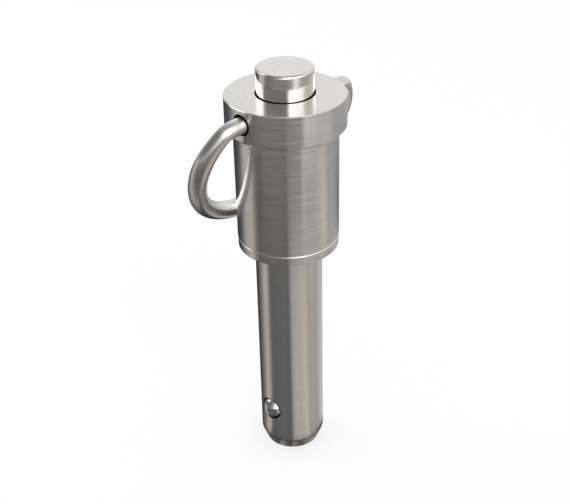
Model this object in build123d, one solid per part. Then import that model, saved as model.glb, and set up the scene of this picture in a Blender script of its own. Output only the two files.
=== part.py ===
"""Ball lock pin with a push button and a pull ring, in millimetres.

The pin stands upright, with its button at the top. The origin is on the pin's axis in the plane of
the shoulder, which is the underside of the collar: the head is above it and the shank below.
The ring's hinge line and the two locking balls lie in the plane of X and Z.
"""
from build123d import *
from math import asin, cos, degrees, radians, sin, tan
import os

# Head: a flange and a body, turned in one piece and bored from both ends
head_height = 30.0
body_dia = 19.05
body_end_round = 0.2
flange_overhang = 1.4
flange_thickness = 6.25
flange_top_break = 0.15
flange_under_bevel = 0.45
button_bore_dia = 10.8
button_bore_depth = 2.8
cavity_dia = 13.2

# Shank: a long pin with a collar and a spigot, turned in one piece and bored from its top
shank_dia = 12.7
shank_length = 46.7
lead_in_depth = 1.0
lead_in_length = 2.65
tip_round = 0.3
collar_step = 0.075
collar_thickness = 2.0
collar_top_bevel = 0.3
collar_under_break = 0.15
spigot_length = 8.0
spigot_bevel = 0.5
drill_point_angle = 118.0

# Locking balls, held in cross bores by a lip that is staked inwards round each mouth
ball_dia = 4.76
ball_protrusion = 1.0
ball_below_shoulder = 36.95
ball_clearance = 0.04
ball_flush_depth = 0.01
lip_overlap = 0.08

# Spindle: a rod with a neck that lets the balls in and a land that holds them out
spindle_dia = 5.0
spindle_clearance = 0.07
land_length = 2.6
neck_length = 2.4
spindle_end_break = 0.3
spindle_end_gap = 0.4
tenon_dia = 4.0
tenon_length = 5.8
tenon_hole_extra = 0.2

# Push button: a rounded rim on a straight stem, a skirt that slides in the bore, and a stop flange
button_travel = 4.0
button_height = 4.85
button_clearance = 0.1
rim_thickness = 0.55
rim_round = 0.5
rim_overhang = 0.1
stem_gap = 0.3
stem_corner_round = 0.08
skirt_depth = 1.0
skirt_break = 0.1
stop_flange_thickness = 2.0
stop_flange_clearance = 0.3

# Return spring, between the spigot and the button
spring_wire_dia = 1.1
spring_mean_dia = 8.4
spring_turns = 5.0

# Pull ring: thick wire, drawn thinner where it bends, whose ends pivot in two holes in the flange's rim
ring_wire_dia = 3.4
ring_end_thinning = 0.2
ring_bend_thinning = 0.5
ring_swell_thinning = 0.1
ring_swell_share = 0.6
ring_clearance = 0.3
ring_hole_centre_depth = 2.65
ring_hole_depth = 3.5
ring_drop = 0.08
ring_end_grip = 2.8
ring_end_break = 0.3
ring_stand_out = 2.35
ring_bend_radius = 2.6
ring_bend_angle = 53.0
ring_side_radius = 12.6
ring_side_angle = 44.0
ring_side_slide = 0.55
ring_rest_gap = 0.05

# Two dimensions count as the same edge within this
same_size = 0.001

# Diameters, heights and radii that follow from the sizes above
flange_dia = body_dia + 2 * flange_overhang
collar_dia = body_dia - 2 * collar_step
lip_opening_dia = ball_dia - 2 * lip_overlap
ring_end_dia = ring_wire_dia - ring_end_thinning
ring_hole_dia = ring_end_dia + 2 * ring_clearance
ring_hole_height = head_height - ring_hole_centre_depth
hinge_height = ring_hole_height - ring_drop
stop_height = head_height - button_bore_depth
spigot_top = collar_thickness + spigot_length
button_base = stop_height - stop_flange_thickness
ball_height = -ball_below_shoulder
ball_radius = ball_dia / 2
ball_seat = shank_dia / 2 + ball_protrusion - ball_radius
ball_inner_seat = shank_dia / 2 - ball_flush_depth - ball_radius
ball_travel = ball_seat - ball_inner_seat
spindle_neck_dia = spindle_dia - 2 * ball_travel
spindle_end = ball_height - land_length


def bar(radius, bottom, top):
    """A round bar about the pin's axis, between two heights."""
    length = top - bottom
    return Pos(0, 0, bottom) * Cylinder(radius, length, align=(Align.CENTER, Align.CENTER, Align.MIN))


def cross_bar(radius, start, end, side, height):
    """A round bar along X, on side +1 or -1, between two distances from the pin's axis."""
    upright = Cylinder(radius, end - start, align=(Align.CENTER, Align.CENTER, Align.MIN))
    return Pos(side * start, 0, height) * Rot(0, 90 * side, 0) * upright


def edges_at(piece, height, radius):
    """The circular edges of a turned piece that have this height and this radius."""
    circles = piece.edges().filter_by(GeomType.CIRCLE)
    level = [edge for edge in circles if abs(edge.arc_center.Z - height) < same_size]
    return [edge for edge in level if abs(edge.radius - radius) < same_size]


def turned(outline):
    """Turn a half section, given as (radius, height) corners, about the pin's axis."""
    section = make_face(Plane.XZ * Polyline(*outline, close=True))
    return revolve(section, Axis.Z)


def make_head_body():
    """The flange and body: the button's bore above, and below it a cavity that the spigot closes."""
    flange_bottom = head_height - flange_thickness
    head = bar(body_dia / 2, collar_thickness, head_height)
    head += bar(flange_dia / 2, flange_bottom, head_height)
    head = chamfer(edges_at(head, head_height, flange_dia / 2), flange_top_break)
    head = chamfer(edges_at(head, flange_bottom, flange_dia / 2), flange_under_bevel)
    head = fillet(edges_at(head, collar_thickness, body_dia / 2), body_end_round)
    head -= bar(button_bore_dia / 2, collar_thickness, head_height)
    head -= bar(cavity_dia / 2, collar_thickness, stop_height)
    rim = flange_dia / 2
    for side in (1, -1):
        head -= cross_bar(ring_hole_dia / 2, rim - ring_hole_depth, rim, side, ring_hole_height)
    return head


def make_shank():
    """The shank with its collar and spigot, its blind bore, and a pocket for each ball."""
    radius = shank_dia / 2
    tip = -shank_length
    lead_in_top = tip + lead_in_length
    shank = turned([(0, tip), (radius - lead_in_depth, tip), (radius, lead_in_top), (radius, 0), (0, 0)])
    shank = fillet(edges_at(shank, tip, radius - lead_in_depth), tip_round)
    collar = bar(collar_dia / 2, 0, collar_thickness)
    collar = chamfer(edges_at(collar, collar_thickness, collar_dia / 2), collar_top_bevel)
    collar = chamfer(edges_at(collar, 0, collar_dia / 2), collar_under_break)
    spigot = bar(cavity_dia / 2, 0, spigot_top)
    spigot = chamfer(edges_at(spigot, spigot_top, cavity_dia / 2), spigot_bevel)
    shank += collar
    shank += spigot

    bore_radius = spindle_dia / 2 + spindle_clearance
    bore_end = spindle_end - button_travel - spindle_end_gap
    drill_point = bore_radius / tan(radians(drill_point_angle / 2))
    bore = [(0, bore_end - drill_point), (bore_radius, bore_end), (bore_radius, spigot_top), (0, spigot_top)]
    shank -= turned(bore)
    for side in (1, -1):
        shank -= make_ball_pocket(side)
    return shank


def make_ball_pocket(side):
    """The space of one cross bore: straight, round at the ball's seat, and narrower at the lip."""
    pocket_radius = ball_radius + ball_clearance
    pocket = cross_bar(pocket_radius, 0, ball_seat, side, ball_height)
    pocket += Pos(side * ball_seat, 0, ball_height) * Sphere(pocket_radius)
    pocket += cross_bar(lip_opening_dia / 2, ball_seat, shank_dia, side, ball_height)
    return pocket


def make_locking_ball(side):
    """One ball, at rest against its lip."""
    return Pos(side * ball_seat, 0, ball_height) * Sphere(ball_radius)


def make_spindle():
    """The spindle: its cone starts level with the balls, so that it lets them in as it goes down."""
    radius = spindle_dia / 2
    neck_radius = spindle_neck_dia / 2
    neck_bottom = ball_height + button_travel
    neck_top = neck_bottom + neck_length
    tenon_top = button_base + tenon_length
    tenon_radius = tenon_dia / 2
    return turned([
        (0, spindle_end),
        (radius - spindle_end_break, spindle_end),
        (radius, spindle_end + spindle_end_break),
        (radius, ball_height),
        (neck_radius, neck_bottom),
        (neck_radius, neck_top),
        (radius, neck_top + radius - neck_radius),
        (radius, button_base),
        (tenon_radius, button_base),
        (tenon_radius, tenon_top - spindle_end_break),
        (tenon_radius - spindle_end_break, tenon_top),
        (0, tenon_top),
    ])


def make_push_button():
    """The button, stopped in the head by its flange and bored from below for the spindle's tenon."""
    bore_radius = button_bore_dia / 2
    skirt_radius = bore_radius - button_clearance
    stem_radius = bore_radius - stem_gap
    rim_radius = stem_radius + rim_overhang
    stop_radius = cavity_dia / 2 - stop_flange_clearance
    top = head_height + button_height
    rim_bottom = top - rim_thickness
    skirt_top = head_height - skirt_depth

    button = turned([
        (0, button_base),
        (stop_radius, button_base),
        (stop_radius, stop_height),
        (skirt_radius, stop_height),
        (skirt_radius, skirt_top - skirt_break),
        (skirt_radius - skirt_break, skirt_top),
        (stem_radius, skirt_top),
        (stem_radius, rim_bottom),
        (rim_radius, rim_bottom),
        (rim_radius, top),
        (0, top),
    ])
    button = fillet(edges_at(button, top, rim_radius), rim_round)
    button = fillet(edges_at(button, rim_bottom, stem_radius), stem_corner_round)
    button -= bar(tenon_dia / 2, button_base, button_base + tenon_length + tenon_hole_extra)
    return button


def make_return_spring():
    """The coil spring, with its two ends ground flat on the spigot and on the button."""
    length = button_base - spigot_top
    coil = Helix(pitch=length / spring_turns, height=length, radius=spring_mean_dia / 2)
    wire = Plane(coil @ 0, z_dir=coil % 0) * Circle(spring_wire_dia / 2)
    spring = Pos(0, 0, spigot_top) * sweep(wire, path=coil, is_frenet=True)
    return spring & bar(spring_mean_dia, spigot_top, button_base)


def wire_section(path, place, diameter):
    """The wire's round section across a path, at a share of its length from 0 to 1."""
    return Plane(path @ place, z_dir=path % place) * Circle(diameter / 2)


def make_pull_ring():
    """The ring, leaning on the body: half of it is swept in its own plane, and then mirrored."""
    rim = flange_dia / 2
    held = Line((rim - ring_end_grip, 0), (rim, 0))
    free = Line((rim, 0), (rim + ring_stand_out, 0))
    bend = JernArc(free @ 1, free % 1, ring_bend_radius, ring_bend_angle)
    side = JernArc(bend @ 1, bend % 1, ring_side_radius, ring_side_angle)
    heading = side % 1
    bottom_radius = (side @ 1).X / heading.Y
    bottom_angle = 90 + degrees(asin(heading.X))
    bottom = JernArc(side @ 1, heading, bottom_radius, bottom_angle)

    half = sweep(wire_section(held, 0, ring_end_dia), path=held)
    half = chamfer(half.edges().sort_by(Axis.X)[0], ring_end_break)
    waist = [
        wire_section(free, 0, ring_end_dia),
        wire_section(bend, 1, ring_wire_dia - ring_bend_thinning),
        wire_section(side, ring_swell_share, ring_wire_dia - ring_swell_thinning),
        wire_section(side, 1, ring_wire_dia),
    ]
    half += sweep(waist, path=Wire([free, bend, side]), multisection=True)
    half += sweep(wire_section(bottom, 0, ring_wire_dia), path=bottom)
    ring = half + mirror(half, Plane.YZ)

    reach = (bottom @ 1).Y
    lean = asin((body_dia / 2 + ring_wire_dia / 2 + ring_rest_gap) / reach)
    hinge = (ring_side_slide, 0, hinge_height)
    ring_plane = Plane(origin=hinge, x_dir=(1, 0, 0), z_dir=(0, cos(lean), sin(lean)))
    return ring_plane * ring


pieces = {
    "head_body": make_head_body(),
    "shank": make_shank(),
    "push_button": make_push_button(),
    "spindle": make_spindle(),
    "return_spring": make_return_spring(),
    "locking_ball_front": make_locking_ball(-1),
    "locking_ball_rear": make_locking_ball(1),
    "pull_ring": make_pull_ring(),
}

os.makedirs("parts", exist_ok=True)
for name, piece in pieces.items():
    export_step(piece, f"parts/{name}.step")
    print(name, "volume", round(piece.volume, 2), "mm3")
print("ball travel", round(ball_travel, 3), "mm for a button travel of", button_travel, "mm")
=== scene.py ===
# %% [markdown]
# A ball lock pin: a steel pin with a flanged head, a push button on top, a pull ring of thick wire
# and two locking balls near the tip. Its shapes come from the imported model, most of them turned on
# a lathe, so this lesson is about steel: one metal in several finishes, and the light that shows
# them. Polished steel has almost no colour of its own. What the eye reads is what it reflects.

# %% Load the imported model
from math import cos, pi, radians, sin

import bpy
from mathutils import Matrix, Vector


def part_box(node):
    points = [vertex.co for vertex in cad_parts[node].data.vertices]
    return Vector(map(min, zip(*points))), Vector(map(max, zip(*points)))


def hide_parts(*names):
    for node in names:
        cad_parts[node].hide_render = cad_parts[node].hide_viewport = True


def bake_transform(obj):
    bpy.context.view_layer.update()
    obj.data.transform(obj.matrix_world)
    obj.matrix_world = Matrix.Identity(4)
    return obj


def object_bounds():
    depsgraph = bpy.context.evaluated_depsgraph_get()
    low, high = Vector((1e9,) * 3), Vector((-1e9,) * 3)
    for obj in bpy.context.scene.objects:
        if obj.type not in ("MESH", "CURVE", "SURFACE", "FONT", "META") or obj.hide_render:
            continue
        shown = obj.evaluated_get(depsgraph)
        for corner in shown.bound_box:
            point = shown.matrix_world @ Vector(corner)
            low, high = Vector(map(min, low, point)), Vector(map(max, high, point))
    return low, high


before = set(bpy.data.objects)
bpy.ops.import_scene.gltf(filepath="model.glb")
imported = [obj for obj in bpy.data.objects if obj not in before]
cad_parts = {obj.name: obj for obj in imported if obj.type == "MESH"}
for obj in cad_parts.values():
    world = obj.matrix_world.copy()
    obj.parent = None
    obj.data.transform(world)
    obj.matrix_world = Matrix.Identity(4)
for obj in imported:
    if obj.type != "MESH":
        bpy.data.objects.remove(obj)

cad_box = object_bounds()
print("The solids reach from", cad_box[0][:], "to", cad_box[1][:])

# %% [markdown]
# Sizes are written in millimetres, as on the workshop drawing, and turned into Blender's metres
# by one value. Colours are written as sRGB hex, as an eyedropper gives them, and a shader needs
# them linear, so one function does that for every finish and every light.

# %% Units and colours
mm = 0.001
clear_white = "#FFFFFF"


def linear(hex_colour):
    """The linear RGBA of an sRGB hex colour."""
    channels = [int(hex_colour[place:place + 2], 16) / 255 for place in (1, 3, 5)]
    return [c / 12.92 if c <= 0.04045 else ((c + 0.055) / 1.055) ** 2.4 for c in channels] + [1.0]


print("Mid grey is", round(linear("#808080")[0], 3), "in linear light")

# %% [markdown]
# A finish and a sky are both a handful of nodes. One small function adds a node, sets it and
# links it, so that the lines below read like the node editor from left to right. A Mix node has
# hidden sockets of the same names for numbers and vectors, so its colours are told by their place.

# %% Adding a node
mix_a = 6
mix_b = 7
mix_result = 2


def add_node(tree, kind, inputs=(), **settings):
    """A new shader node. Each input is (socket, value), and a value that is a socket is linked."""
    node = tree.nodes.new(kind)
    for name, value in settings.items():
        setattr(node, name, value)
    for socket, value in dict(inputs).items():
        if isinstance(value, bpy.types.NodeSocket):
            tree.links.new(value, node.inputs[socket])
        else:
            node.inputs[socket].default_value = value
    return node


print("A Mix node takes its two colours at", mix_a, "and", mix_b, "and gives one at", mix_result)

# %% [markdown]
# The camera stands where the photographer's did: in front of the ring's left end, looking down by
# 31 degrees, close enough that the shank narrows downwards in perspective. Its place is counted
# from the middle of the pin's shoulder. Two small turns, to the side and about the line of sight,
# put the pin where it is in the photo, and as upright.

# %% Camera
view_azimuth = -45.0
camera_reach = 170.944
camera_height = 100.33
camera_down_tilt = 31.014
camera_side_turn = 0.246
camera_roll = -1.455
lens_length = 66.11
nearest_seen = 10.0

facing = radians(view_azimuth)
stand = Vector((sin(facing) * camera_reach, -cos(facing) * camera_reach, camera_height)) * mm
aim = Matrix.Rotation(radians(view_azimuth + camera_side_turn), 4, "Z")
aim = aim @ Matrix.Rotation(radians(90 - camera_down_tilt), 4, "X")
aim = aim @ Matrix.Rotation(radians(camera_roll), 4, "Z")
bpy.ops.object.camera_add(location=stand, rotation=aim.to_euler())
camera = bpy.context.object
camera.name = "photo_camera"
camera.data.lens = lens_length
camera.data.clip_start = nearest_seen * mm
bpy.context.scene.camera = camera
bpy.context.scene.view_settings.view_transform = "Standard"
print("The camera stands", round(stand.length / mm), "mm from the shoulder")

# %% [markdown]
# The floor is one pale sheet that the pin stands on. A sheet that is only lit is never an even
# white, and one that only glows takes no shadow. So most of what the camera sees of it is a plain
# white glow, and the rest is paper in real light, on which the pin drops a soft shadow.

# %% Floor
floor_height = cad_box[0].z
floor_width = 4000.0
paper_white = "#F4F4F4"
paper_glow = 0.65

bpy.ops.object.select_all(action="DESELECT")
bpy.ops.mesh.primitive_plane_add(size=floor_width * mm, location=(0, 0, floor_height))
floor = bpy.context.object
floor.name = "floor"

paper = bpy.data.materials.new("pale_paper")
paper.use_nodes = True
tree = paper.node_tree
tree.nodes.clear()
rays = add_node(tree, "ShaderNodeLightPath").outputs
seen = rays["Is Camera Ray"]
for kind_of_ray in ("Is Glossy Ray", "Is Transmission Ray"):
    seen = add_node(tree, "ShaderNodeMath", {0: seen, 1: rays[kind_of_ray]},
                    operation="MAXIMUM").outputs[0]
share = add_node(tree, "ShaderNodeMath", {0: seen, 1: paper_glow}, operation="MULTIPLY").outputs[0]
lit = add_node(tree, "ShaderNodeBsdfDiffuse", {"Color": linear(paper_white)}).outputs[0]
glow = add_node(tree, "ShaderNodeEmission", {"Color": linear(clear_white), "Strength": 1.0}).outputs[0]
mixed = add_node(tree, "ShaderNodeMixShader", {0: share, 1: lit, 2: glow}).outputs[0]
add_node(tree, "ShaderNodeOutputMaterial", {"Surface": mixed})
floor.data.materials.append(paper)
print("The floor lies", round(-floor_height / mm, 2), "mm below the shoulder")

# %% [markdown]
# Round polished steel mirrors everything about it, squeezed into upright bands. A photographer
# gives it something to mirror: pale walls, with a grey card to the left of the camera and a dark
# one behind on the left. Real sheets could stand there, but a list of cards is easier to tune,
# one band at a time. It says, for a few directions in degrees to the right of the camera, what
# colour stands there and how bright it is. A colour ramp fills in between.

# %% Cards round the pin
flange_cards = [
    (-180, "#ECE9FF", 0.03), (-146, "#ECE9FF", 0.04), (-128, "#ECE9FF", 0.07), (-116, "#F4F4FF", 0.14),
    (-106, "#FBFAFF", 0.46), (-98, "#FFFCFA", 0.58), (-83, "#FFFAF5", 0.56), (-76, "#FFF6EE", 0.16),
    (-62, "#FDFCFB", 0.12), (-45, "#FDFBF9", 0.20), (-25, "#FDFBF9", 0.19), (-12, "#FDFBF9", 0.13),
    (-4, "#FDFBF9", 0.07), (4, "#FFF8F2", 0.09), (27, "#FFF7F1", 0.09), (35, "#FFF9F4", 0.56),
    (58, "#FFF9F4", 0.45), (72, "#FFF9F4", 0.52), (88, "#FFFBF8", 0.52), (96, "#FBFBFF", 0.41),
    (122, "#FBFBFF", 0.38), (180, "#FBFBFF", 0.38),
]
ramp_middle = 0.5


def add_cards(tree, direction, cards, wall_share=None):
    """The colour of the cards in a direction, turned so that the camera is at the ramp's middle.

    Where a floor point is so near the pin that the mirroring wall isn't at its centre, wall_share
    is the wall's radius over the point's distance, and it turns the cards to stay upright bands.
    """
    turned = add_node(tree, "ShaderNodeMapping", {"Vector": direction,
                      "Rotation": (0, 0, radians(90 - view_azimuth))})
    around = add_node(tree, "ShaderNodeTexGradient", {"Vector": turned.outputs[0]},
                      gradient_type="RADIAL").outputs["Fac"]
    if wall_share:
        # A mirror turns a ray by twice its own turn, so half the ray's angle is the wall's
        half = add_node(tree, "ShaderNodeMath", {0: around, 1: pi, 2: -pi / 2},
                        operation="MULTIPLY_ADD").outputs[0]
        side = add_node(tree, "ShaderNodeMath", {0: half}, operation="SINE").outputs[0]
        side = add_node(tree, "ShaderNodeMath", {0: side, 1: wall_share},
                        operation="MULTIPLY").outputs[0]
        lag = add_node(tree, "ShaderNodeMath", {0: side}, operation="ARCSINE").outputs[0]
        around = add_node(tree, "ShaderNodeMath", {0: lag, 1: 1 / (2 * pi), 2: around},
                          operation="MULTIPLY_ADD").outputs[0]
    ramp = add_node(tree, "ShaderNodeValToRGB", {0: around})
    stops = ramp.color_ramp.elements
    while len(stops) < len(cards):
        stops.new(ramp_middle)
    for stop, (degrees, colour, level) in zip(stops, cards):
        stop.position = ramp_middle + degrees / 360
        stop.color = [level * channel for channel in linear(colour)[:3]] + [1.0]
    return ramp.outputs["Color"]


print(len(flange_cards), "stops make the cards that the flange mirrors")

# %% [markdown]
# The sky holds the studio's cloth screens: a white one in front on the right, pale ones behind, a
# grey one to the left of the camera and grey cloth overhead. Real screens stand close, so a
# mirror seen in another mirror, such as the button's wall in the flange's top, looks at another
# part of them. A sky is endlessly far away and can't show that, so Light Path's Ray Depth picks a
# second list of screens for it. The depth counts the last step to the sky as well: a
# first mirror has 2, and a mirror in a mirror 3. Only mirrored rays see any of the screens. The
# camera sees plain white, and so does the floor.

# %% Sky
screens = [
    (-180, clear_white, 0.98), (-165, clear_white, 0.85), (-152, clear_white, 0.72),
    (-137, clear_white, 0.42), (-118, "#FFFDFB", 0.22), (-95, "#FFFDFB", 0.175), (-60, "#FFFDFB", 0.185),
    (-40, "#FFFDFB", 0.25), (-22, clear_white, 0.48), (-6, clear_white, 1.3), (6, clear_white, 1.8),
    (60, clear_white, 1.8), (76, clear_white, 1.2), (90, "#FFFDFA", 0.92), (150, "#FFFDFA", 0.92),
    (168, clear_white, 0.98), (180, clear_white, 0.98),
]
second_screens = [
    (-180, clear_white, 3.2), (-166, clear_white, 3.2), (-156, clear_white, 2.0),
    (-118, clear_white, 2.0), (-106, "#FFF9F2", 0.19), (12, "#FFF9F2", 0.17), (18, clear_white, 2.0),
    (70, clear_white, 2.0), (84, "#FFFDFA", 1.1), (96, "#FFF9F2", 0.85), (148, "#FFF9F2", 0.85),
    (156, clear_white, 3.2), (180, clear_white, 3.2),
]
overhead_start = 0.68
overhead_full = 0.92
overhead_level = 0.4
second_low_level = 1.2
second_screens_start = 0.10
second_screens_full = 0.35
second_mirror_depth = 2.5

world = bpy.data.worlds.new("studio")
bpy.context.scene.world = world
world.use_nodes = True
sky = world.node_tree
sky.nodes.clear()
direction = add_node(sky, "ShaderNodeTexCoord").outputs["Generated"]
height = add_node(sky, "ShaderNodeSeparateXYZ", {0: direction}).outputs["Z"]
overhead = add_node(sky, "ShaderNodeMapRange", {"Value": height, "From Min": overhead_start,
                    "From Max": overhead_full}, interpolation_type="SMOOTHSTEP").outputs[0]
first = add_node(sky, "ShaderNodeMix", {0: overhead, mix_a: add_cards(sky, direction, screens),
                 mix_b: [overhead_level] * 3 + [1.0]}, data_type="RGBA").outputs[mix_result]
above_floor = add_node(sky, "ShaderNodeMapRange", {"Value": height, "From Min": second_screens_start,
                       "From Max": second_screens_full}, interpolation_type="SMOOTHSTEP").outputs[0]
second = add_node(sky, "ShaderNodeMix", {0: above_floor, mix_a: [second_low_level] * 3 + [1.0],
                  mix_b: add_cards(sky, direction, second_screens)},
                  data_type="RGBA").outputs[mix_result]
rays = add_node(sky, "ShaderNodeLightPath").outputs
twice = add_node(sky, "ShaderNodeMath", {0: rays["Ray Depth"], 1: second_mirror_depth},
                 operation="GREATER_THAN").outputs[0]
studio = add_node(sky, "ShaderNodeMix", {0: twice, mix_a: first, mix_b: second},
                  data_type="RGBA").outputs[mix_result]
mirrored = add_node(sky, "ShaderNodeMix", {0: rays["Is Glossy Ray"], mix_a: linear(clear_white),
                    mix_b: studio}, data_type="RGBA").outputs[mix_result]
light = add_node(sky, "ShaderNodeBackground", {"Color": mirrored, "Strength": 1.0}).outputs[0]
add_node(sky, "ShaderNodeOutputWorld", {"Surface": light})
print("The sky has", len(sky.nodes), "nodes")

# %% [markdown]
# From above, an upright steel wall mirrors the floor and not the sky, and each height of the pin
# mirrors its own stretch of it. So the cards also lie on a sheet just over the floor that only
# mirrored rays see. Under the tip the pin's shadow is painted on it as a dark patch. Then come the
# cards of the lead-in, a dark ring of the same painted shadow, and the cards of the shank, the body,
# the flange, the button and the flange again, and last the sky's screens. Each zone says between
# which distances from the axis its cards fade in. The shank's are near enough to need the turn
# that add_cards makes.

# %% Cards over the floor
# The pin's shadow, painted on the mirrored sheet under and round the tip.
painted_tip_shadow = [(-180, "#FBFBFF", 0.05), (180, "#FBFBFF", 0.05)]
foot_cards = [
    (-180, "#FBFBFF", 0.10), (-90, "#FBFBFF", 0.18), (-50, "#FBFBFD", 0.18), (-34, "#FBFBFD", 0.14),
    (-29, "#FBFBFD", 0.45), (-19, "#FBFBFD", 0.40), (-14, "#FBFBFD", 0.17), (-3, "#FBFBFD", 0.14),
    (-1, "#FFFAF5", 0.42), (3, "#FFFAF5", 0.38), (10, "#FFF9F3", 0.24), (20, "#FFF9F3", 0.18),
    (26, "#FFF8F1", 0.26), (31, "#FFF8F1", 0.44), (46, "#FFF9F4", 0.52), (180, "#FBFBFF", 0.40),
]
shank_cards = [
    (-180, "#FBFBFF", 0.01), (-148, "#FBFBFF", 0.01), (-137, "#FBFBFF", 0.10), (-124, "#FBFBFF", 0.15),
    (-113, "#FFFBF8", 0.27), (-105, "#FFF9F4", 0.45), (-95, "#FFF9F4", 0.54), (-87, "#FFF9F4", 0.53),
    (-78, "#FDFBFA", 0.20), (-68, "#FBFBFD", 0.13), (-25, "#FBFBFD", 0.155), (-13, "#FBFBFD", 0.125),
    (-3, "#FBFBFD", 0.13), (3, "#FFFAF5", 0.38), (15, "#FFF9F3", 0.50), (35, "#FFF8F1", 0.52),
    (45, "#FFF7EE", 0.60), (58, "#FFF5E8", 0.64), (66, "#FFF4EC", 0.45), (85, "#FFF6EE", 0.50),
    (96, "#FFF8F2", 0.42), (115, "#FFF8F3", 0.53), (135, "#FDFDFF", 0.66), (180, "#FDFDFF", 0.62),
]
body_cards = [
    (-180, "#ECE9FF", 0.03), (-148, "#ECE9FF", 0.06), (-131, "#F0EFFF", 0.08), (-124, "#F6F6FF", 0.13),
    (-116, "#FFFAF6", 0.22), (-106, "#FFF8F2", 0.51), (-83, "#FFF8F1", 0.50), (-73, "#FFF9F4", 0.20),
    (-66, "#FDFCFB", 0.11), (-50, "#FDFBF9", 0.155), (-30, "#FDFBF9", 0.17), (-14, "#FDFBF9", 0.14),
    (-4, "#FDFBF9", 0.12), (4, "#FFF7F0", 0.24), (24, "#FFF7F1", 0.29), (35, "#FFF8F2", 0.39),
    (44, "#FFF8F2", 0.24), (52, "#FFF8F2", 0.31), (66, "#FFF8F2", 0.48), (80, "#FFF9F4", 0.66),
    (88, "#FFF9F4", 0.64), (96, "#FFFBF8", 0.44), (120, "#FBFBFF", 0.41), (140, "#FBFBFF", 0.22),
    (180, "#FBFBFF", 0.28),
]
button_cards = [
    (-180, "#ECE9FF", 0.05), (-128, "#F4F4FF", 0.12), (-112, "#FFFDFA", 0.60), (-96, "#FFFAF6", 0.60),
    (-84, "#FFFDFB", 0.28), (-72, "#FFFDFB", 0.19), (-55, "#FFF9F4", 0.26), (-30, "#FFF9F4", 0.30),
    (0, "#FFF9F4", 0.30), (14, "#FFF9F4", 0.36), (28, "#FFF9F4", 0.60), (38, "#FFFAF6", 1.05),
    (48, "#FFFAF6", 1.10), (60, "#FFFDFA", 0.62), (72, "#FFFDFA", 0.42), (95, "#FFFDFA", 0.46),
    (120, "#FFFDFA", 0.60), (180, "#FFFDFA", 0.60),
]
shank_radius = 6.35
card_zones = [(5.2, 5.6, foot_cards), (6.8, 7.2, painted_tip_shadow), (8.8, 9.4, shank_cards),
              (84.0, 92.0, body_cards), (138.0, 146.0, flange_cards), (184.0, 192.0, button_cards),
              (224.0, 236.0, flange_cards), (440.0, 520.0, screens)]
card_radius = 600.0
card_corners = 64
card_lift = 0.2

bpy.ops.object.select_all(action="DESELECT")
bpy.ops.mesh.primitive_circle_add(vertices=card_corners, radius=card_radius * mm, fill_type="NGON",
                                  location=(0, 0, floor_height + card_lift * mm))
floor_cards = bpy.context.object
floor_cards.name = "floor_cards"
for kind_of_ray in ("camera", "diffuse", "transmission", "volume_scatter", "shadow"):
    setattr(floor_cards, "visible_" + kind_of_ray, False)

card_paint = bpy.data.materials.new("card_paint")
card_paint.use_nodes = True
paint = card_paint.node_tree
paint.nodes.clear()
place = add_node(paint, "ShaderNodeTexCoord").outputs["Object"]
distance = add_node(paint, "ShaderNodeVectorMath", {0: place}, operation="LENGTH").outputs["Value"]
wall_share = add_node(paint, "ShaderNodeMath", {0: shank_radius * mm, 1: distance},
                      operation="DIVIDE").outputs[0]
colour = add_cards(paint, place, painted_tip_shadow)
for start, end, cards in card_zones:
    fade = add_node(paint, "ShaderNodeMapRange", {"Value": distance, "From Min": start * mm,
                    "From Max": end * mm}).outputs[0]
    next_colour = add_cards(paint, place, cards, wall_share if cards is shank_cards else None)
    colour = add_node(paint, "ShaderNodeMix", {0: fade, mix_a: colour, mix_b: next_colour},
                      data_type="RGBA").outputs[mix_result]
glow = add_node(paint, "ShaderNodeEmission", {"Color": colour}).outputs[0]
add_node(paint, "ShaderNodeOutputMaterial", {"Surface": glow})
floor_cards.data.materials.append(card_paint)
print(len(card_zones), "rings of cards lie round the tip")

# %% [markdown]
# Two square softboxes light the pin. Their strength is set as the brightness of their cloth, about
# one and a half times that of white paper, and Blender's watts follow from that and from the size.
# A photographer would hold a black flag between the left one and the ring, whose wire would show
# it as a hard white streak. Light linking is Blender's flag: it leaves the ring out of that light.

# %% Softboxes
softboxes = [("key_softbox", 24, 42, 1.6), ("left_softbox", -112, 36, 1.5)]
softbox_distance = 600.0
softbox_width = 300.0

for name, azimuth, elevation, brightness in softboxes:
    turn = radians(azimuth + view_azimuth)
    rise = radians(elevation)
    way = Vector((sin(turn) * cos(rise), -cos(turn) * cos(rise), sin(rise)))
    bpy.ops.object.light_add(type="AREA", location=way * softbox_distance * mm,
                             rotation=way.to_track_quat("Z", "Y").to_euler())
    softbox = bpy.context.object
    softbox.name = name
    softbox.data.size = softbox_width * mm
    softbox.data.energy = brightness * pi * softbox.data.size ** 2
    softbox.visible_camera = False
    print(name, "gives", round(softbox.data.energy, 3), "watts")

flag = bpy.data.collections.new("kept_from_left_softbox")
flag.objects.link(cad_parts["pull_ring"])
flag.collection_objects[0].light_linking.link_state = "EXCLUDE"
bpy.data.objects["left_softbox"].light_linking.receiver_collection = flag

# %% [markdown]
# Every machined surface keeps the marks of its tool. On turned and ground steel they are fine
# grooves round the axis, broken into short streaks. Cut into the mesh they would take millions of
# faces, so a mapped noise gives them, stretched along the groove and squeezed across it. Height
# plus radius is what it counts across, so the marks run round a flat top and a cone as well as an
# upright wall. The real grooves are 0.05 to 0.1 mm apart, and each finish below says how much
# coarser it draws them. Streaks that are as wide as they are long give the even grain of drawn
# wire and of a lapped ball.

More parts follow.
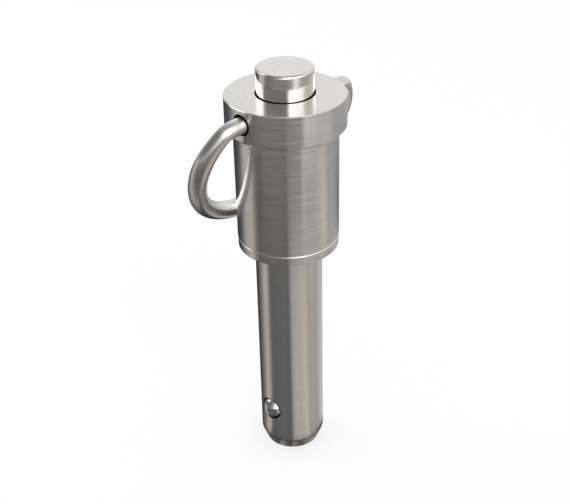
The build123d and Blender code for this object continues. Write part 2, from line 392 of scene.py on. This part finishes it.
# %% Tool marks
def add_tool_marks(tree, pitch, length, detail=2.0):
    """Noise in streaks this far apart and this long round the pin's axis, in mm."""
    point = add_node(tree, "ShaderNodeTexCoord").outputs["Object"]
    place = add_node(tree, "ShaderNodeSeparateXYZ", {0: point}).outputs
    level = add_node(tree, "ShaderNodeCombineXYZ", {"X": place["X"], "Y": place["Y"]}).outputs[0]
    radius = add_node(tree, "ShaderNodeVectorMath", {0: level}, operation="LENGTH").outputs["Value"]
    across = add_node(tree, "ShaderNodeMath", {0: place["Z"], 1: radius}, operation="ADD").outputs[0]
    unrolled = add_node(tree, "ShaderNodeCombineXYZ", {"X": place["X"], "Y": place["Y"],
                        "Z": across}).outputs[0]
    step = (1 / (length * mm), 1 / (length * mm), 1 / (pitch * mm))
    drawn = add_node(tree, "ShaderNodeMapping", {"Vector": unrolled, "Scale": step}).outputs[0]
    return add_node(tree, "ShaderNodeTexNoise", {"Vector": drawn, "Scale": 1.0,
                    "Detail": detail}).outputs["Fac"]


# %% [markdown]
# The gaps round the button, the wire's ends and the balls look black. They are a few tenths of a
# millimetre wide and up to 3.5 mm deep, and light that goes in dies between their walls. Here the
# cards would still shine in, so shade is painted instead: a mask that says which points are inside
# a bore paints the bores' own walls near black. Each radius is that of the bore's wall or a hair
# more. At a ball it takes in the thin lip at the mouth as well, so that a painted dark line of shade
# rings the ball.

# %% Painted shade in the bores
# The near black of the painted shade inside the bores.
painted_bore_shade = "#0C0C0E"


def add_bore(tree, axis, height, radius):
    """1 inside a bore along X or Z of this radius, and 0 outside it."""
    flatten = {"X": (0, 1, 1), "Z": (1, 1, 0)}[axis]
    point = add_node(tree, "ShaderNodeTexCoord").outputs["Object"]
    away = add_node(tree, "ShaderNodeMapping", {"Vector": point, "Scale": flatten,
                    "Location": (0, 0, -height * mm * flatten[2])}).outputs[0]
    distance = add_node(tree, "ShaderNodeVectorMath", {0: away}, operation="LENGTH").outputs["Value"]
    return add_node(tree, "ShaderNodeMath", {0: distance, 1: radius * mm},
                    operation="LESS_THAN").outputs[0]


ball_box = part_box("locking_ball_front")
ball_height = (ball_box[0].z + ball_box[1].z) / 2 / mm
print("The ball pockets lie", round(-ball_height, 2), "mm below the shoulder")

# %% [markdown]
# All the steels here have the slightly warm light grey of stainless steel, in two tones that the
# tool marks mix. The marks also vary the roughness a little and dent the surface. Grooves blur a
# reflection along the pin's axis and keep it sharp from side to side, which is what anisotropy
# does. Its direction comes from a tangent that runs round the axis, turned a quarter, and the
# metal's own IOR stays.

# %% Bare steel
steel_light = "#E3E2E0"
steel_dark = "#D3D1CE"
across_the_grooves = 0.25


def new_steel(name, marks, roughness, spread, depth, anisotropy=0.0, bores=()):
    """A bare steel. Its marks, as add_tool_marks takes them, mix its tones and vary its roughness.

    They also dent it by the depth, in mm. Its bores, each as add_bore takes it, get painted shade.
    """
    steel = bpy.data.materials.new(name)
    steel.use_nodes = True
    tree = steel.node_tree
    shader = tree.nodes["Principled BSDF"]
    shader.inputs["Metallic"].default_value = 1.0
    shader.inputs["Anisotropic"].default_value = anisotropy
    shader.inputs["Anisotropic Rotation"].default_value = across_the_grooves
    drawn = add_tool_marks(tree, *marks)
    colour = add_node(tree, "ShaderNodeMix", {0: drawn, mix_a: linear(steel_dark),
                      mix_b: linear(steel_light)}, data_type="RGBA").outputs[mix_result]
    # Painted shade: the walls inside each bore are mixed to near black.
    for bore in bores:
        colour = add_node(tree, "ShaderNodeMix", {0: add_bore(tree, *bore), mix_a: colour,
                          mix_b: linear(painted_bore_shade)}, data_type="RGBA").outputs[mix_result]
    rough = add_node(tree, "ShaderNodeMapRange", {"Value": drawn, "To Min": roughness - spread,
                     "To Max": roughness + spread}).outputs[0]
    bump = add_node(tree, "ShaderNodeBump", {"Height": drawn, "Distance": depth * mm}).outputs[0]
    tangent = add_node(tree, "ShaderNodeTangent", direction_type="RADIAL", axis="Z").outputs[0]
    sources = {"Base Color": colour, "Roughness": rough, "Normal": bump, "Tangent": tangent}
    for socket, value in sources.items():
        tree.links.new(value, shader.inputs[socket])
    return steel


print("A steel mixes", steel_dark, "and", steel_light)

# %% [markdown]
# The head is turned stainless steel, faced and smoothed on the lathe. It gives the eye satin
# bands that stay upright, crossed by faint rings. The tool's feed is about 0.1 mm, too fine to
# show at this size, so its marks are drawn 0.45 mm apart and 7 mm long.

# %% Turned steel of the head
ring_hole_height = 27.35
ring_hole_radius = 1.95
button_bore_radius = 5.42
groove_blur = 0.9

# The ring holes and the button's bore get painted shade.
turned_steel = new_steel("turned_stainless_steel", marks=(0.45, 7.0), roughness=0.2, spread=0.04,
                         depth=0.002, anisotropy=groove_blur,
                         bores=[("X", ring_hole_height, ring_hole_radius), ("Z", 0, button_bore_radius)])
print(turned_steel.name, "has", len(turned_steel.node_tree.nodes), "nodes")

# %% [markdown]
# The shank is ground between two wheels after turning, because it has to slide in a fitted hole.
# It gives the eye the cleanest bands of all, with hardly a ring across them. A grinding mark is
# about 0.05 mm wide and is drawn at 0.3 mm, 5 mm long. The hidden spindle is ground as well. Its
# material is its own, because the shank's also gets the ball pockets and the lead-in's rings.

# %% Ground steel of the shank and the spindle
ball_pocket_radius = 2.42
ground_finish = {"marks": (0.3, 5.0), "roughness": 0.2, "spread": 0.03, "depth": 0.001,
                 "anisotropy": groove_blur}

# The ball pockets and the lip round each ball get painted shade.
ground_steel = new_steel("ground_stainless_steel", bores=[("X", ball_height, ball_pocket_radius)],
                         **ground_finish)
spindle_steel = new_steel("ground_spindle_steel", **ground_finish)
print(ground_steel.name, "has", len(ground_steel.node_tree.nodes), "nodes")

# %% [markdown]
# The lead-in at the tip is turned and never ground, so it keeps rings that the eye can count.
# They are only a few thousandths of a millimetre deep, so the mesh stays smooth. A plain wave of
# the height draws them, let through only below the shank's last full diameter. A usual feed of
# 0.2 mm is drawn at 0.85 mm, and much deeper. The wave is a second bump upon the first, and it
# also paints shade into the bottom of each groove, where the walls mostly mirror each other.

# %% Feed rings of the lead-in
lead_in_top = -44.05
ring_pitch = 0.85
ring_depth = 0.04
painted_groove_shade = "#4E4D4C"

tree = ground_steel.node_tree
shader = tree.nodes["Principled BSDF"]
plain_colour = shader.inputs["Base Color"].links[0].from_socket
first_bump = shader.inputs["Normal"].links[0].from_socket
point = add_node(tree, "ShaderNodeTexCoord").outputs["Object"]
height = add_node(tree, "ShaderNodeSeparateXYZ", {0: point}).outputs["Z"]
fallen = add_node(tree, "ShaderNodeMath", {0: height, 1: -lead_in_top * mm}, operation="ADD").outputs[0]
turns = add_node(tree, "ShaderNodeMath", {0: fallen, 1: 2 * pi / (ring_pitch * mm)},
                 operation="MULTIPLY").outputs[0]
wave = add_node(tree, "ShaderNodeMath", {0: turns}, operation="SINE").outputs[0]
below = add_node(tree, "ShaderNodeMath", {0: height, 1: lead_in_top * mm},
                 operation="LESS_THAN").outputs[0]
rings = add_node(tree, "ShaderNodeMath", {0: wave, 1: below}, operation="MULTIPLY").outputs[0]
grooved = add_node(tree, "ShaderNodeBump", {"Height": rings, "Distance": ring_depth * mm,
                   "Normal": first_bump}).outputs[0]
tree.links.new(grooved, shader.inputs["Normal"])
# Painted shade: each groove's bottom is mixed towards a dark grey.
bottom = add_node(tree, "ShaderNodeMath", {0: rings, 1: -1.0}, operation="MULTIPLY",
                  use_clamp=True).outputs[0]
shaded = add_node(tree, "ShaderNodeMix", {0: bottom, mix_a: plain_colour, mix_b: linear(painted_groove_shade)},
                  data_type="RGBA").outputs[mix_result]
tree.links.new(shaded, shader.inputs["Base Color"])
print("The lead-in has", round((lead_in_top * mm - floor_height) / (ring_pitch * mm)), "rings")

# %% [markdown]
# A thumb keeps the button bright. It is polished stainless steel, and it gives the eye a clear
# mirror with a crisp white rim. A polishing mop leaves rings about 0.02 mm wide, which are drawn
# at 0.3 mm.

# %% Polished steel of the button
button_steel = new_steel("polished_stainless_steel", marks=(0.3, 3.0), roughness=0.10, spread=0.02,
                         depth=0.0005)
print(button_steel.name, "has", len(button_steel.node_tree.nodes), "nodes")

# %% [markdown]
# The balls are hardened bearing steel, lapped until they are the smoothest part of the pin. They
# give the eye small hard sparks. Lapping leaves grains of a few thousandths of a millimetre,
# drawn at 0.5 mm and almost flat.

# %% Lapped steel of the balls
ball_steel = new_steel("lapped_ball_steel", marks=(0.5, 0.5, 1.0), roughness=0.08, spread=0.02,
                       depth=0.0003)
print(ball_steel.name, "has", len(ball_steel.node_tree.nodes), "nodes")

# %% [markdown]
# The ring is drawn wire, bent cold and tumbled with ceramic chips. That leaves it satin, and it
# gives the eye a soft streak along the wire instead of a sharp one. A tumbled dimple is about
# 0.2 mm wide. Drawn at that size it would only be noise, so it is drawn at 2 mm.

# %% Satin wire of the ring
ring_steel = new_steel("tumbled_steel_wire", marks=(2.0, 2.0, 1.0), roughness=0.3, spread=0.03,
                       depth=0.0005)
print(ring_steel.name, "has", len(ring_steel.node_tree.nodes), "nodes")

# %% [markdown]
# The return spring inside is hard-drawn spring wire, rougher than the rest because it is only
# drawn and coiled. It gives the eye a dull sheen. The marks of the drawing die are about 0.05 mm
# wide and are drawn at 0.4 mm.

# %% Spring wire
spring_steel = new_steel("drawn_spring_wire", marks=(0.4, 0.4, 1.0), roughness=0.35, spread=0.05,
                         depth=0.002)
print(spring_steel.name, "has", len(spring_steel.node_tree.nodes), "nodes")

# %% [markdown]
# The shapes are already right, so each solid keeps its mesh and only gets its finish. Both balls
# are the same bought part, and so they share one material.

# %% Each piece gets its finish
finishes = {
    "head_body": turned_steel, "shank": ground_steel, "spindle": spindle_steel,
    "push_button": button_steel, "locking_ball_front": ball_steel, "locking_ball_rear": ball_steel,
    "pull_ring": ring_steel, "return_spring": spring_steel,
}
for name, finish in finishes.items():
    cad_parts[name].material_slots[0].material = finish
    print(name, "is", finish.name)

# %% [markdown]
# The solid spring is rigid and would poke through the pressed button. A copy of it takes its
# place. It is hidden in the head and only shows when the pin is taken apart. A solid's mesh comes
# in patches that don't share their border's points, so the copy's doubled points are merged, and
# its shading is smooth again but for the ground ends.

# %% A copy of the return spring
merge_distance = 0.0005
ground_edge = 40

coil = bpy.data.objects.new("return_spring_coil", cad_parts["return_spring"].data.copy())
bpy.context.scene.collection.objects.link(coil)
coil.matrix_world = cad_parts["return_spring"].matrix_world
bpy.ops.object.select_all(action="DESELECT")
coil.select_set(True)
bpy.context.view_layer.objects.active = coil
loose_points = len(coil.data.vertices)
bpy.ops.object.mode_set(mode="EDIT")
bpy.ops.mesh.select_all(action="SELECT")
bpy.ops.mesh.remove_doubles(threshold=merge_distance * mm)
bpy.ops.object.mode_set(mode="OBJECT")
bpy.ops.object.shade_smooth_by_angle(angle=radians(ground_edge))
print("Merging leaves", len(coil.data.vertices), "of", loose_points, "points")
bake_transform(coil)
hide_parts("return_spring")
